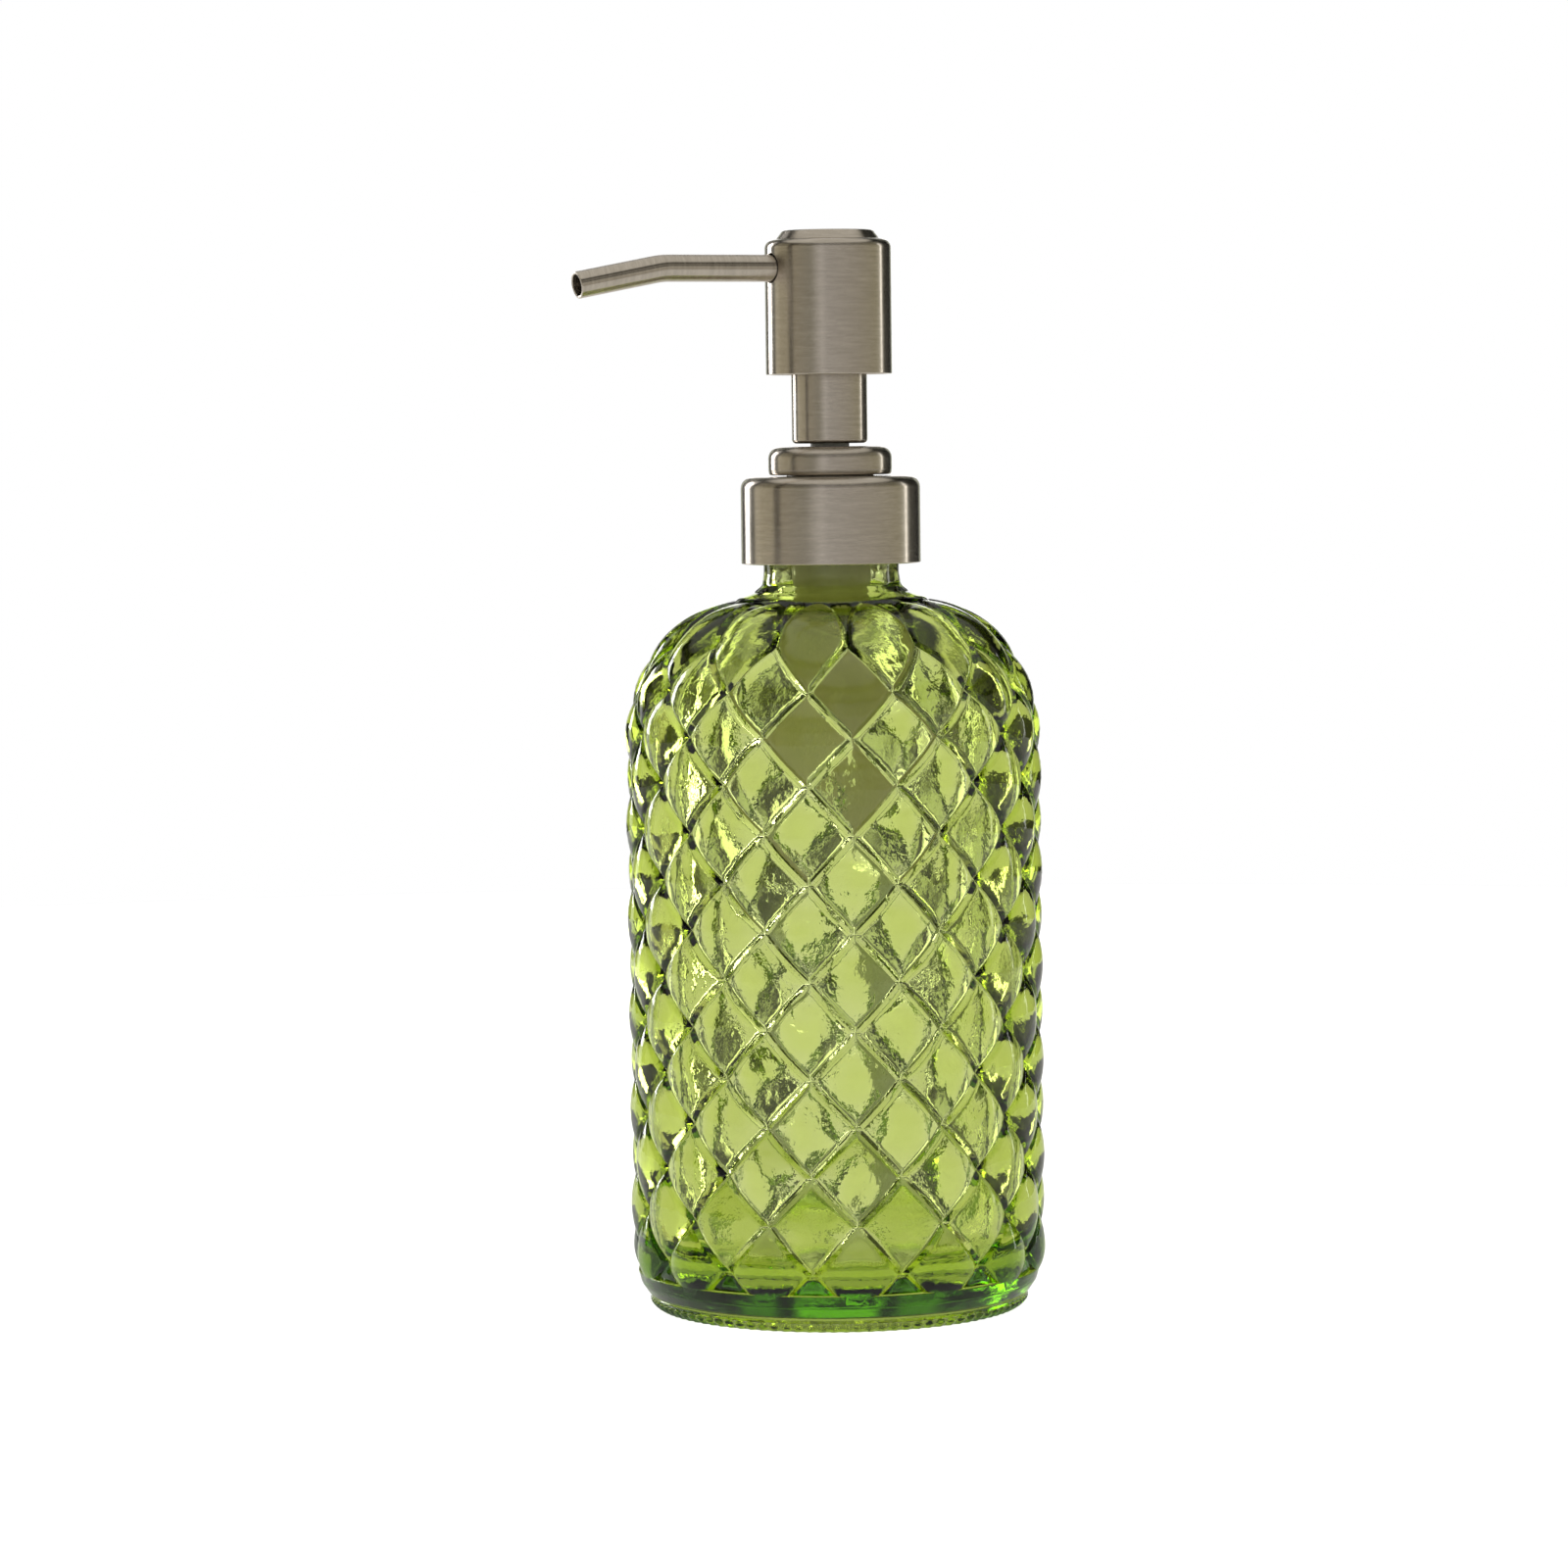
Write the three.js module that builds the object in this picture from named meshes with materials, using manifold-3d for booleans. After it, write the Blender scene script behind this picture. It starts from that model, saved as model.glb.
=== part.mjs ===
// Soap pump dispenser: a pressed-glass bottle with a quilted diamond pattern and a metal-clad
// lotion pump on its neck. Millimetres, +Z up, the bottle's axis on Z, its foot at z = 0,
// and the spout pointing along -X.

import * as THREE from 'three';
import { mergeGeometries, mergeVertices } from 'three/addons/utils/BufferGeometryUtils.js';
import Module from 'manifold-3d';

const wasm = await Module();
wasm.setup();

// Driving dimensions

const gap = 0.3;

const body = {
  radius: 38.75,
  shoulder: { centreRadius: 14, z: 106, height: 26.9 },
  heel: { centreRadius: 29.5, z: 11.5, height: 12.5 },
  standInner: 28.5,
  standOuter: 33.4,
  recess: 0.8,
  wall: 4.2,
  floor: 8.5,
};
const quilt = {
  halfColumns: 28,
  turn: -122.13,
  firstRowZ: 10.8,
  rowPitch: 8.84,
  rows: 14,
  bottomZ: 6.5,
  topZ: 132.4,
  depth: 2.1,
  tableShare: 0.52,
};
const neck = { radius: 12.55, bore: 10.3, z: 133.9, landZ: 149.6 };
const thread = {
  pitch: 4.233,
  rise: 1.2,
  rootWidth: 2.1,
  crestWidth: 0.9,
  bottleTurns: 1.35,
  collarTurns: 1.2,
  startZ: 141.4,
};

const collar = { radius: 16.65, skin: 0.6, z: 138.5, topZ: 154.6, edge: 2.2, hole: 8.5 };
const insert = { radius: 15.75, bore: 14.15, z: 139, webZ: 152.9, topZ: 153.7 };
const gasket = { radius: 12.6, hole: 9.4, z: 149.9, topZ: 151.1 };
const boss = { radius: 11.45, skin: 0.6, z: 154.9, topZ: 160.1, edge: 1.9, hole: 7.4 };

const housing = {
  flangeRadius: 12.9,
  flangeZ: 151.4,
  flangeTopZ: 152.6,
  upperRadius: 8.05,
  upperBore: 7.3,
  topZ: 157.5,
  ledgeZ: 143.5,
  radius: 7.3,
  bore: 6.3,
  valveLedgeZ: 104.3,
  valveRadius: 4.6,
  valveBore: 3.4,
  coneTopZ: 100.2,
  coneZ: 97.2,
  throat: 1.6,
  nozzleRadius: 4.4,
  nozzleBore: 3.3,
  nozzleLedgeZ: 96.5,
  nozzleZ: 88,
};
const dipTube = { radius: 3, bore: 2.2, z: 14, topZ: 96.2 };
const ball = { radius: 2.5, z: 99.9 };
const cage = { radius: 6, hole: 1.6, z: 104.6, topZ: 107.9 };
const spring = { radius: 4.6, wire: 0.45, z: 108.2, topZ: 132.7, turns: 8 };
const seat = { radius: 5, spigot: 1.9, z: 133, topZ: 135.9, spigotTopZ: 140 };
const piston = { radius: 6, hole: 3.9, z: 136.3, topZ: 143.2 };
const bush = { radius: 7, hole: 3.95, z: 143.8, topZ: 147.7 };
const stem = { radius: 3.6, bore: 2.2, z: 136.3, topZ: 185.7, portZ: 141.4, port: 0.8 };

const sleeve = { radius: 7, skin: 0.4, z: 160.7, topZ: 180, edge: 0.9 };
const head = {
  radius: 11.675,
  skin: 0.7,
  z: 173.4,
  topZ: 200,
  discRadius: 9.35,
  discTopRadius: 7.8,
  ledgeZ: 198.3,
  edge: 1.7,
};
const core = {
  radius: 10.6,
  z: 175,
  shoulderZ: 196.2,
  topRadius: 8.4,
  topZ: 197.9,
  boreTopZ: 186,
  channel: 1.8,
};
const spout = {
  radius: 2.5,
  bore: 1.85,
  z: 193,
  innerX: 5,
  bendX: 33.5,
  drop: 10.5,
  bendRadius: 16,
  reach: 50.2,
};
const spoutSeal = { radius: 3.3, hole: 2.75, x: 6.4, width: 1.4 };

const finishes = {
  glass: { color: 0xa9c25a, roughness: 0.08, metalness: 0 },
  nickel: { color: 0xa59b8c, roughness: 0.35, metalness: 1 },
  steel: { color: 0xb8b8b4, roughness: 0.25, metalness: 1 },
  plastic: { color: 0xd9d9d2, roughness: 0.5, metalness: 0 },
  tube: { color: 0xe8ece0, roughness: 0.4, metalness: 0 },
  housing: { color: 0x6d6547, roughness: 0.45, metalness: 0 },
  rubber: { color: 0x2a2a28, roughness: 0.8, metalness: 0 },
};

// Helpers

const rad = THREE.MathUtils.degToRad;

function signedVolume(geometry) {
  const at = geometry.attributes.position;
  const index = geometry.index;
  const corners = [new THREE.Vector3(), new THREE.Vector3(), new THREE.Vector3()];
  let volume = 0;
  for (let i = 0; i < index.count; i += 3) {
    corners.forEach((corner, k) => corner.fromBufferAttribute(at, index.getX(i + k)));
    volume += corners[0].dot(corners[1].clone().cross(corners[2])) / 6;
  }
  return volume;
}

// A closed geometry with only shared positions, its faces turned outwards.
function closed(geometry) {
  const bare = geometry.clone();
  bare.deleteAttribute('normal');
  bare.deleteAttribute('uv');
  const merged = mergeVertices(bare, 1e-4);
  const kept = [];
  const index = merged.index.array;
  for (let i = 0; i < index.length; i += 3) {
    const [a, b, c] = [index[i], index[i + 1], index[i + 2]];
    if (a !== b && b !== c && a !== c) kept.push(a, b, c);
  }
  merged.setIndex(kept);
  if (signedVolume(merged) < 0) {
    for (let i = 0; i < kept.length; i += 3) [kept[i], kept[i + 1]] = [kept[i + 1], kept[i]];
    merged.setIndex(kept);
  }
  return merged;
}

function solid(geometry) {
  const mesh = closed(geometry);
  const vertProperties = new Float32Array(mesh.attributes.position.array);
  const triVerts = new Uint32Array(mesh.index.array);
  return new wasm.Manifold(new wasm.Mesh({ numProp: 3, vertProperties, triVerts }));
}

function geometryOf(manifold) {
  const mesh = manifold.getMesh();
  const geometry = new THREE.BufferGeometry();
  geometry.setAttribute('position', new THREE.BufferAttribute(mesh.vertProperties, 3));
  geometry.setIndex(new THREE.BufferAttribute(mesh.triVerts, 1));
  return geometry;
}

// A body of revolution about Z from [radius, z] points. A profile off the axis closes on itself.
function turned(profile, segments = 32) {
  const points = profile.map(([radius, z]) => new THREE.Vector2(radius, z));
  if (profile[0][0] > 0) points.push(points[0].clone());
  return closed(new THREE.LatheGeometry(points, segments).rotateX(Math.PI / 2));
}

// Points of an arc from one angle to another, in degrees, about [radius, z].
function arc([radius, z], size, from, to, steps = 2) {
  return Array.from({ length: steps + 1 }, (_, i) => {
    const angle = rad(from + ((to - from) * i) / steps);
    return [radius + size * Math.cos(angle), z + size * Math.sin(angle)];
  });
}

function ring(outer, inner, z, topZ, segments = 32) {
  return turned([[inner, z], [outer, z], [outer, topZ], [inner, topZ]], segments);
}

// A cylinder along -X, for cross holes.
function crossCylinder(radius, fromX, toX, z, segments = 16) {
  const rod = new THREE.CylinderGeometry(radius, radius, toX - fromX, segments);
  return rod.rotateZ(Math.PI / 2).translate(-(fromX + toX) / 2, 0, z);
}

// Joins rings of equal point counts into one skin and closes both ends with fans.
function loft(rings) {
  const count = rings[0].length;
  const points = rings.flat();
  const index = [];
  for (let r = 0; r + 1 < rings.length; r++) {
    for (let i = 0; i < count; i++) {
      const a = r * count + i;
      const b = r * count + ((i + 1) % count);
      index.push(a, b, b + count, a, b + count, a + count);
    }
  }
  const last = (rings.length - 1) * count;
  for (let i = 1; i + 1 < count; i++) {
    index.push(0, i + 1, i, last, last + i, last + i + 1);
  }
  const geometry = new THREE.BufferGeometry().setFromPoints(points);
  geometry.setIndex(index);
  return closed(geometry);
}

function polar(radius, angle, z) {
  return new THREE.Vector3(radius * Math.cos(angle), radius * Math.sin(angle), z);
}

// A trapezoid ridge on a right-hand helix, from its root radius to its crest radius.
function threadRidge(rootRadius, crestRadius, startZ, turns) {
  const steps = Math.round(turns * 28);
  const rings = [];
  for (let i = 0; i <= steps; i++) {
    const angle = (i / steps) * turns * 2 * Math.PI;
    const z = startZ + (i / steps) * turns * thread.pitch;
    const fade = Math.min(1, (0.4 + Math.min(i, steps - i)) / 3);
    const crest = rootRadius + (crestRadius - rootRadius) * fade;
    rings.push([
      polar(rootRadius, angle, z - thread.rootWidth / 2),
      polar(crest, angle, z - thread.crestWidth / 2),
      polar(crest, angle, z + thread.crestWidth / 2),
      polar(rootRadius, angle, z + thread.rootWidth / 2),
    ]);
  }
  return loft(rings);
}

// The bottle

// Radius of the bottle's outer envelope, which the crowns of the diamonds touch.
function envelope(z) {
  const { shoulder, heel } = body;
  if (z > shoulder.z) {
    const up = Math.min(1, (z - shoulder.z) / shoulder.height);
    return shoulder.centreRadius + (body.radius - shoulder.centreRadius) * Math.sqrt(1 - up * up);
  }
  if (z < heel.z) {
    const down = (heel.z - z) / heel.height;
    return heel.centreRadius + (body.radius - heel.centreRadius) * Math.sqrt(1 - down * down);
  }
  return body.radius;
}

// A point of the profile, pushed in from the envelope along its normal.
function sunk(z, depth) {
  const step = 0.2;
  const slope = (envelope(z + step) - envelope(z - step)) / (2 * step);
  const length = Math.hypot(1, slope);
  return [envelope(z) - depth / length, z + (depth * slope) / length];
}

function rowZ(row) {
  if (row < 0) return quilt.bottomZ;
  if (row >= quilt.rows) return quilt.topZ;
  return quilt.firstRowZ + quilt.rowPitch * row;
}

function quiltPoint(column, row, depth) {
  const low = Math.floor(row);
  const z = rowZ(low) + (row - low) * (rowZ(low + 1) - rowZ(low));
  const [radius, height] = sunk(z, depth);
  return polar(radius, rad(quilt.turn + (column * 360) / quilt.halfColumns), height);
}

// One diamond: a raised table on four bevels that run down to the grooves.
function diamond(column, row) {
  const corners = [[1, 0], [0, 1], [-1, 0], [0, -1]];
  const rim = corners.map(([c, r]) => quiltPoint(column + c, row + r, quilt.depth));
  const share = quilt.tableShare;
  const table = corners.map(([c, r]) => quiltPoint(column + c * share, row + r * share, 0.15));
  const points = [...rim, ...table];
  const index = [4, 5, 6, 4, 6, 7];
  for (let i = 0; i < 4; i++) {
    const j = (i + 1) % 4;
    index.push(i, j, 4 + j, i, 4 + j, 4 + i);
  }
  const geometry = new THREE.BufferGeometry().setFromPoints(points);
  geometry.setIndex(index);
  return geometry;
}

function levelRing(radius, z) {
  return Array.from({ length: quilt.halfColumns }, (_, i) =>
    polar(radius, rad(quilt.turn + (i * 360) / quilt.halfColumns), z));
}

function strip(lower, upper) {
  const count = lower.length;
  const index = [];
  for (let i = 0; i < count; i++) {
    const j = (i + 1) % count;
    index.push(i, j, count + j, i, count + j, count + i);
  }
  const geometry = new THREE.BufferGeometry().setFromPoints([...lower, ...upper]);
  geometry.setIndex(index);
  return geometry;
}

function fan(points, centre, upward) {
  const index = [];
  points.forEach((_, i) => {
    const j = (i + 1) % points.length;
    index.push(...(upward ? [i, j, points.length] : [j, i, points.length]));
  });
  const geometry = new THREE.BufferGeometry().setFromPoints([...points, centre]);
  geometry.setIndex(index);
  return geometry;
}

// The flat-footed triangles that fill the pattern's zigzag edge down to a level ring.
function edgeTriangle(column, row, inwards) {
  const side = [quiltPoint(column - 1, row, quilt.depth), quiltPoint(column + 1, row, quilt.depth)];
  const middle = quiltPoint(column, row, quilt.depth);
  const apex = quiltPoint(column, row + inwards, quilt.depth);
  const geometry = new THREE.BufferGeometry().setFromPoints([side[0], middle, side[1], apex]);
  geometry.setIndex(inwards > 0 ? [0, 1, 3, 1, 2, 3] : [1, 0, 3, 2, 1, 3]);
  return geometry;
}

function bottleSkin() {
  const faces = [];
  for (let row = 0; row < quilt.rows; row++) {
    for (let column = (row + 1) % 2; column < quilt.halfColumns; column += 2) {
      faces.push(diamond(column, row));
    }
  }
  for (let column = 0; column < quilt.halfColumns; column += 2) {
    faces.push(edgeTriangle(column, -1, 1));
    faces.push(edgeTriangle(column + 1, quilt.rows, -1));
  }
  const edge = (row) => Array.from({ length: quilt.halfColumns }, (_, i) =>
    quiltPoint(i, row, quilt.depth));

  const foot = [
    [body.standInner - 2, body.recess], [body.standInner, 0], [body.standOuter, 0], [35.4, 1.7],
  ];
  const footRings = foot.map(([radius, z]) => levelRing(radius, z));
  footRings.push(edge(-1));
  const neckProfile = [
    [14.2, neck.z], [neck.radius + 0.3, neck.z + 0.9], [neck.radius, neck.z + 2],
    [neck.radius, neck.landZ - 0.5], [neck.radius - 0.6, neck.landZ],
  ];
  const neckRings = [edge(quilt.rows), ...neckProfile.map(([radius, z]) => levelRing(radius, z))];
  for (const rings of [footRings, neckRings]) {
    for (let i = 0; i + 1 < rings.length; i++) faces.push(strip(rings[i], rings[i + 1]));
  }
  faces.push(fan(footRings[0], new THREE.Vector3(0, 0, body.recess), false));
  faces.push(fan(neckRings.at(-1), new THREE.Vector3(0, 0, neck.landZ), true));
  return closed(mergeGeometries(faces));
}

function bottleCavity() {
  const inner = body.radius - body.wall;
  const profile = [[0, body.floor + 0.6], [20, body.floor + 0.6]];
  profile.push(...arc([inner - 9, body.floor + 9], 9, -90, 0, 3));
  const { shoulder } = body;
  for (const angle of [0, 30, 52, 70, 84]) {
    const radius = shoulder.centreRadius + (inner - shoulder.centreRadius) * Math.cos(rad(angle));
    profile.push([radius, shoulder.z + (shoulder.height - body.wall) * Math.sin(rad(angle))]);
  }
  profile.push([neck.bore, 131.2], [neck.bore, neck.landZ + 1], [0, neck.landZ + 1]);
  return turned(profile, 28);
}

function bottle() {
  const { startZ, rise, bottleTurns } = thread;
  const ridge = threadRidge(neck.radius - 0.4, neck.radius + rise, startZ, bottleTurns);
  return geometryOf(solid(bottleSkin()).subtract(solid(bottleCavity())).add(solid(ridge)));
}

// The closure

function collarShell() {
  const { radius, skin, z, topZ, edge, hole } = collar;
  return turned([
    [radius - skin, z], [radius, z],
    ...arc([radius - edge, topZ - edge], edge, 0, 90),
    [hole, topZ], [hole, topZ - skin],
    ...arc([radius - edge, topZ - edge], edge - skin, 90, 0),
  ], 36);
}

function collarInsert() {
  const liner = turned([
    [insert.bore, insert.z], [insert.radius, insert.z],
    [insert.radius, insert.topZ - 0.8], [insert.radius - 0.8, insert.topZ],
    [collar.hole, insert.topZ], [collar.hole, insert.webZ], [insert.bore, insert.webZ],
  ], 32);
  const startZ = thread.startZ + thread.pitch / 2;
  const ridge = threadRidge(insert.bore + 0.4, neck.radius + 0.5, startZ, thread.collarTurns);
  return geometryOf(solid(liner).add(solid(ridge)));
}

function bossCover() {
  const { radius, skin, z, topZ, edge, hole } = boss;
  return turned([
    [radius - skin, z], [radius - 0.4, z], [radius, z + 0.5],
    ...arc([radius - edge, topZ - edge], edge, 0, 90),
    [hole, topZ], [hole, topZ - skin],
    ...arc([radius - edge, topZ - edge], edge - skin, 90, 0),
  ], 32);
}

function chaplet() {
  const rim = boss.radius - boss.skin - gap;
  const topZ = boss.topZ - boss.skin - gap;
  const webZ = housing.topZ + gap;
  const bore = housing.upperRadius + gap;
  return turned([
    [bore, boss.z + 0.1], [rim, boss.z + 0.1], [rim, topZ - 1.6], [rim - 1.6, topZ],
    [boss.hole, topZ], [boss.hole, webZ], [bore, webZ],
  ], 28);
}

// The pump's fixed body

function pumpHousing() {
  const h = housing;
  return turned([
    [h.upperBore, h.topZ], [h.upperRadius, h.topZ], [h.upperRadius, h.flangeTopZ],
    [h.flangeRadius, h.flangeTopZ], [h.flangeRadius, h.flangeZ], [h.upperRadius, h.flangeZ],
    [h.upperRadius, h.ledgeZ - 1], [h.radius, h.ledgeZ - 2], [h.radius, h.valveLedgeZ - 1.5],
    [h.valveRadius, h.valveLedgeZ - 3], [h.valveRadius, h.coneZ], [h.nozzleRadius, h.coneZ - 1],
    [h.nozzleRadius, h.nozzleZ], [h.nozzleBore, h.nozzleZ], [h.nozzleBore, h.nozzleLedgeZ],
    [h.throat, h.nozzleLedgeZ], [h.throat, h.coneZ], [h.valveBore, h.coneTopZ],
    [h.valveBore, h.valveLedgeZ], [h.bore, h.valveLedgeZ], [h.bore, h.ledgeZ], [h.upperBore, h.ledgeZ],
  ], 24);
}

function ballCage() {
  return turned([
    [cage.hole, cage.z], [cage.radius, cage.z], [cage.radius, cage.topZ],
    [spring.radius - 1, cage.topZ], [spring.radius - 1.4, cage.topZ + 1.5], [cage.hole, cage.topZ + 1.5],
  ], 24);
}

// A compression spring with one dead coil at each end.
function returnSpring() {
  const stepsPerTurn = 12;
  const steps = spring.turns * stepsPerTurn;
  const dead = 1 / spring.turns;
  const low = spring.z + spring.wire;
  const high = spring.topZ - spring.wire;
  const coil = 2 * spring.wire + 0.1;
  const heightAt = (t) => {
    if (t < dead) return low + (coil * t) / dead;
    if (t > 1 - dead) return high - (coil * (1 - t)) / dead;
    return THREE.MathUtils.mapLinear(t, dead, 1 - dead, low + coil, high - coil);
  };
  const rings = [];
  for (let i = 0; i <= steps; i++) {
    const t = i / steps;
    const angle = t * spring.turns * 2 * Math.PI;
    rings.push(Array.from({ length: 5 }, (_, k) => {
      const around = (k * 2 * Math.PI) / 5;
      const radius = spring.radius + spring.wire * Math.cos(around);
      return polar(radius, angle, heightAt(t) + spring.wire * Math.sin(around));
    }));
  }
  return loft(rings);
}

function guideBush() {
  const pocket = bush.topZ - 2.1;
  return turned([
    [bush.hole, bush.z], [bush.radius, bush.z], [bush.radius, bush.topZ],
    [5.6, bush.topZ], [5.6, pocket], [bush.hole, pocket],
  ], 28);
}

function stemSeal() {
  const z = bush.topZ - 2.1 + gap;
  return turned([[3.85, z], [5.3, z], [5.3, z + 1.3], [4.6, z + 1.6], [3.85, z + 1.3]], 24);
}

// The moving plunger

// A cup-lipped piston, thin at both rims.
function pumpPiston() {
  const { radius, hole, z, topZ } = piston;
  return turned([
    [hole, z + 1.4], [hole + 0.8, z + 1.4], [radius - 0.7, z], [radius, z], [radius - 0.2, z + 1.6],
    [radius - 0.5, z + 3.4], [radius - 0.2, topZ - 1.6], [radius, topZ], [radius - 0.7, topZ],
    [hole + 0.8, topZ - 1.4], [hole, topZ - 1.4],
  ], 24);
}

function pistonSeat() {
  const { radius, spigot, z, topZ, spigotTopZ } = seat;
  return turned([
    [0, z - 1.5], [2.8, z - 1.5], [3.2, z], [radius, z], [radius, topZ - 0.8], [radius - 0.8, topZ],
    [spigot, topZ], [spigot, spigotTopZ - 0.5], [spigot - 0.5, spigotTopZ], [0, spigotTopZ],
  ], 24);
}

function pumpStem() {
  const tube = solid(ring(stem.radius, stem.bore, stem.z, stem.topZ, 24));
  const reach = stem.radius + 1;
  return geometryOf(tube.subtract(solid(crossCylinder(stem.port, -reach, reach, stem.portZ, 8))));
}

function stemSleeve() {
  const { radius, skin, z, topZ, edge } = sleeve;
  return turned([
    [radius - skin - 0.5, z], ...arc([radius - edge, z + edge], edge, -90, 0),
    [radius, topZ], [radius - skin, topZ], [radius - skin, z + edge], [radius - skin - 0.5, z + 0.4],
  ], 28);
}

function headShell() {
  const { radius, skin, z, topZ, edge } = head;
  const shell = solid(turned([
    [radius - skin, z], [radius, z],
    ...arc([radius - edge, head.ledgeZ - edge - 0.2], edge, 0, 80),
    [head.discRadius, head.ledgeZ], [head.discRadius - 0.2, head.ledgeZ + 0.7],
    [head.discTopRadius, topZ], [0, topZ],
    [0, core.topZ + gap], [core.topRadius + gap, core.topZ + gap],
    [radius - skin, core.shoulderZ + gap / 2],
  ], 36));
  const hole = crossCylinder(spout.radius + gap, 6, radius + 2, spout.z, 20);
  return geometryOf(shell.subtract(solid(hole)));
}

function headCore() {
  const blank = solid(turned([
    [0, core.z], [core.radius, core.z], [core.radius, core.shoulderZ],
    [core.topRadius, core.topZ], [0, core.topZ],
  ], 28));
  const glandEnd = spoutSeal.x + spoutSeal.width + gap;
  const cuts = [
    turned([[0, core.z - 1], [stem.radius + gap, core.z - 1], [stem.radius + gap, core.boreTopZ],
      [core.channel, core.boreTopZ], [core.channel, spout.z], [0, spout.z]], 24),
    ring(sleeve.radius + gap, sleeve.radius - sleeve.skin - gap, core.z - 1, sleeve.topZ + gap, 28),
    crossCylinder(core.channel - 0.1, 0, spout.innerX, spout.z, 12),
    crossCylinder(spout.radius + gap, spout.innerX - gap, core.radius + 1, spout.z, 16),
    crossCylinder(spoutSeal.radius + gap, spoutSeal.x - gap, glandEnd, spout.z, 20),
  ];
  return geometryOf(cuts.reduce((left, cut) => left.subtract(solid(cut)), blank));
}

// The spout's centre line: straight out of the head, then one gentle bend down.
function spoutPath() {
  const bend = rad(spout.drop);
  const run = spout.bendRadius * Math.tan(bend / 2);
  const corner = new THREE.Vector3(-spout.bendX, 0, spout.z);
  const before = corner.clone().add(new THREE.Vector3(run, 0, 0));
  const onward = new THREE.Vector3(-Math.cos(bend), 0, -Math.sin(bend));
  const after = corner.clone().addScaledVector(onward, run);
  const left = (spout.reach - spout.bendX) / Math.cos(bend);
  const tip = corner.clone().addScaledVector(onward, left);
  const path = new THREE.CurvePath();
  path.add(new THREE.LineCurve3(new THREE.Vector3(-spout.innerX, 0, spout.z), before));
  path.add(new THREE.QuadraticBezierCurve3(before, corner, after));
  path.add(new THREE.LineCurve3(after, tip));
  return path;
}

function spoutTube() {
  const section = new THREE.Shape().absarc(0, 0, spout.radius, 0, 2 * Math.PI);
  section.holes.push(new THREE.Path().absarc(0, 0, spout.bore, 0, 2 * Math.PI, true));
  const settings = { steps: 12, curveSegments: 6, bevelEnabled: false, extrudePath: spoutPath() };
  return closed(new THREE.ExtrudeGeometry(section, settings));
}

function spoutSealRing() {
  const lip = ring(spoutSeal.radius, spoutSeal.hole, 0, spoutSeal.width, 20);
  return closed(lip.rotateY(-Math.PI / 2).translate(-spoutSeal.x, 0, spout.z));
}

// The assembly

function part(name, geometry, finish) {
  const mesh = new THREE.Mesh(geometry, new THREE.MeshStandardMaterial(finishes[finish]));
  mesh.name = name;
  return mesh;
}

function inletBall() {
  return closed(new THREE.SphereGeometry(ball.radius, 12, 8).rotateX(Math.PI / 2).translate(0, 0, ball.z));
}

const dispenser = new THREE.Group();
dispenser.name = 'soap_pump_dispenser';
dispenser.add(
  part('bottle', bottle(), 'glass'),
  part('collar_shell', collarShell(), 'nickel'),
  part('collar_insert', collarInsert(), 'plastic'),
  part('neck_gasket', ring(gasket.radius, gasket.hole, gasket.z, gasket.topZ, 28), 'rubber'),
  part('boss_cover', bossCover(), 'nickel'),
  part('chaplet', chaplet(), 'plastic'),
  part('housing', pumpHousing(), 'housing'),
  part('dip_tube', ring(dipTube.radius, dipTube.bore, dipTube.z, dipTube.topZ, 20), 'tube'),
  part('inlet_ball', inletBall(), 'steel'),
  part('ball_cage', ballCage(), 'plastic'),
  part('return_spring', returnSpring(), 'steel'),
  part('stem_guide_bush', guideBush(), 'plastic'),
  part('stem_seal', stemSeal(), 'rubber'),
  part('piston', pumpPiston(), 'plastic'),
  part('piston_seat', pistonSeat(), 'plastic'),
  part('stem', pumpStem(), 'plastic'),
  part('stem_sleeve', stemSleeve(), 'nickel'),
  part('head_core', headCore(), 'plastic'),
  part('head_shell', headShell(), 'nickel'),
  part('spout_tube', spoutTube(), 'nickel'),
  part('spout_seal', spoutSealRing(), 'rubber'),
);

export default dispenser;
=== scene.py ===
# Soap pump dispenser: a quilted green glass bottle with a brushed nickel lotion pump.
# Shapes are worked out in millimetres and placed from the CAD frame, which is in metres.

import math

import bmesh
import bpy
import numpy as np
from mathutils import Matrix, Vector, noise


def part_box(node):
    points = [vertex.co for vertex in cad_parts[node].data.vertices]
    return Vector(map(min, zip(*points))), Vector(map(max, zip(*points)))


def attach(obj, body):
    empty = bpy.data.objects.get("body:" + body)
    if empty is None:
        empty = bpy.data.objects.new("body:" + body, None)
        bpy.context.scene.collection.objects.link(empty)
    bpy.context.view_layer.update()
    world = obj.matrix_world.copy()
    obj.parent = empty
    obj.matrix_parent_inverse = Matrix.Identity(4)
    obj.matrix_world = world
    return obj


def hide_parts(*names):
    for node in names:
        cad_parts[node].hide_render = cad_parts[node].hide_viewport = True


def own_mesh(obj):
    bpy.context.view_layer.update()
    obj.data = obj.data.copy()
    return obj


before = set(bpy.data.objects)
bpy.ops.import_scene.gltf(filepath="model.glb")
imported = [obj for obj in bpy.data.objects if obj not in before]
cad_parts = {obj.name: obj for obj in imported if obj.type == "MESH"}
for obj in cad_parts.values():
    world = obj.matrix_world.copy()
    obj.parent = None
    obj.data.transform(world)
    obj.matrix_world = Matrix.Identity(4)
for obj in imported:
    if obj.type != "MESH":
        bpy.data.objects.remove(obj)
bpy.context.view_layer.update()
print("frame: %d CAD nodes" % len(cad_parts))

mm = 0.001


def levels(node):
    low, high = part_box(node)
    return low.z / mm, high.z / mm


def reach(node):  # outer radius of a turned CAD node
    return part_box(node)[1].y / mm


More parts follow.
